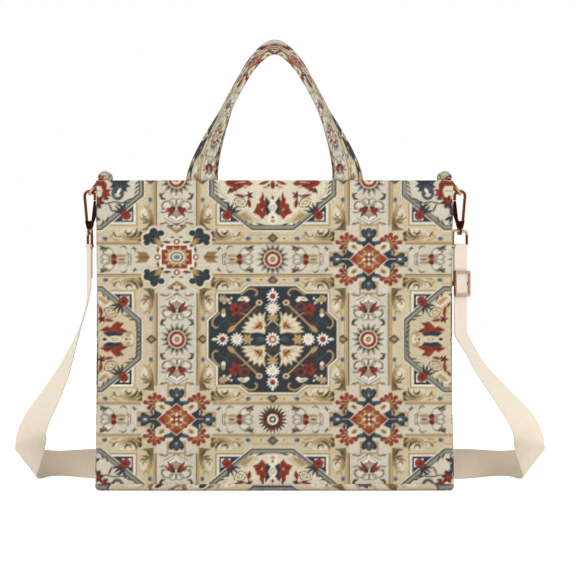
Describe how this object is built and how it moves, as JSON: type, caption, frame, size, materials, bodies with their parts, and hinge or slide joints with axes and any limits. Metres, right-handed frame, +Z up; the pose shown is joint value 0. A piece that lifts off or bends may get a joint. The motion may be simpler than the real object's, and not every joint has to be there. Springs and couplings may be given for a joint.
{
  "type": "tote bag",
  "caption": "Structured printed canvas tote bag with short cloth handles and a clip-on webbing shoulder strap held by swivel snap hooks on side rings.",
  "frame": {"origin": "middle of the base, on the surface the bag stands on", "axes": "+X to the viewer's right along the bag's width, -Y to the front, +Z up"},
  "size_m": [0.5583, 0.1247, 0.4581],
  "materials": {
    "printed_canvas": "woven canvas printed with a traditional rug pattern",
    "lining_cloth": "thin plain-woven lining",
    "board": "stiffening board",
    "webbing": "ribbed webbing, pale cream-pink",
    "rose_metal": "polished rose-gold plating",
    "spring_steel": "spring steel leaf"
  },
  "bodies": {
    "bag": {"front_panel": "printed_canvas", "back_panel": "printed_canvas", "left_gusset": "printed_canvas", "right_gusset": "printed_canvas", "base_panel": "printed_canvas", "base_board": "board", "lining": "lining_cloth", "front_handle": "printed_canvas", "back_handle": "printed_canvas", "left_tab": "printed_canvas", "right_tab": "printed_canvas", "shoulder_strap": "webbing"},
    "left_clasp": {"left_ring": "rose_metal", "left_hook": "rose_metal", "left_gate_pin": "rose_metal", "left_gate_spring": "spring_steel"},
    "left_loop": {"left_strap_loop": "rose_metal"},
    "left_gate": {"left_gate": "rose_metal"},
    "right_clasp": {"right_ring": "rose_metal", "right_hook": "rose_metal", "right_gate_pin": "rose_metal", "right_gate_spring": "spring_steel"},
    "right_loop": {"right_strap_loop": "rose_metal"},
    "right_gate": {"right_gate": "rose_metal"},
    "slider": {"strap_slider": "rose_metal"}
  },
  "joints": [
    {"name": "left_ring_swing", "type": "hinge", "parent": "bag", "child": "left_clasp", "pos_m": [-0.1772, 0, 0.3156], "axis": [0, 1, 0], "range_deg": [0, 90], "deforming": ["shoulder_strap"]},
    {"name": "left_loop_swivel", "type": "hinge", "parent": "left_clasp", "child": "left_loop", "pos_m": [-0.19013, 0, 0.2615], "axis": [0, 0, 1], "range_deg": [-45, 21], "deforming": ["shoulder_strap"]},
    {"name": "left_gate_open", "type": "hinge", "parent": "left_clasp", "child": "left_gate", "pos_m": [-0.18753, 0, 0.26815], "axis": [0, -1, 0], "range_deg": [0, 15], "stiffness_Nm_per_rad": 0.02, "springref_deg": -20.05, "deforming": ["left_gate_spring"]},
    {"name": "right_ring_swing", "type": "hinge", "parent": "bag", "child": "right_clasp", "pos_m": [0.1772, 0, 0.3156], "axis": [0, -1, 0], "range_deg": [0, 90], "deforming": ["shoulder_strap"]},
    {"name": "right_loop_swivel", "type": "hinge", "parent": "right_clasp", "child": "right_loop", "pos_m": [0.19013, 0, 0.2615], "axis": [0, 0, 1], "range_deg": [-2, 58], "deforming": ["shoulder_strap"]},
    {"name": "right_gate_open", "type": "hinge", "parent": "right_clasp", "child": "right_gate", "pos_m": [0.18753, 0, 0.26815], "axis": [0, 1, 0], "range_deg": [0, 15], "stiffness_Nm_per_rad": 0.02, "springref_deg": -20.05, "deforming": ["right_gate_spring"]},
    {"name": "slider_slide", "type": "slide", "parent": "right_loop", "child": "slider", "axis": [0, 0, -1], "range_m": [-0.012, 0.03], "deforming": ["shoulder_strap"]}
  ]
}
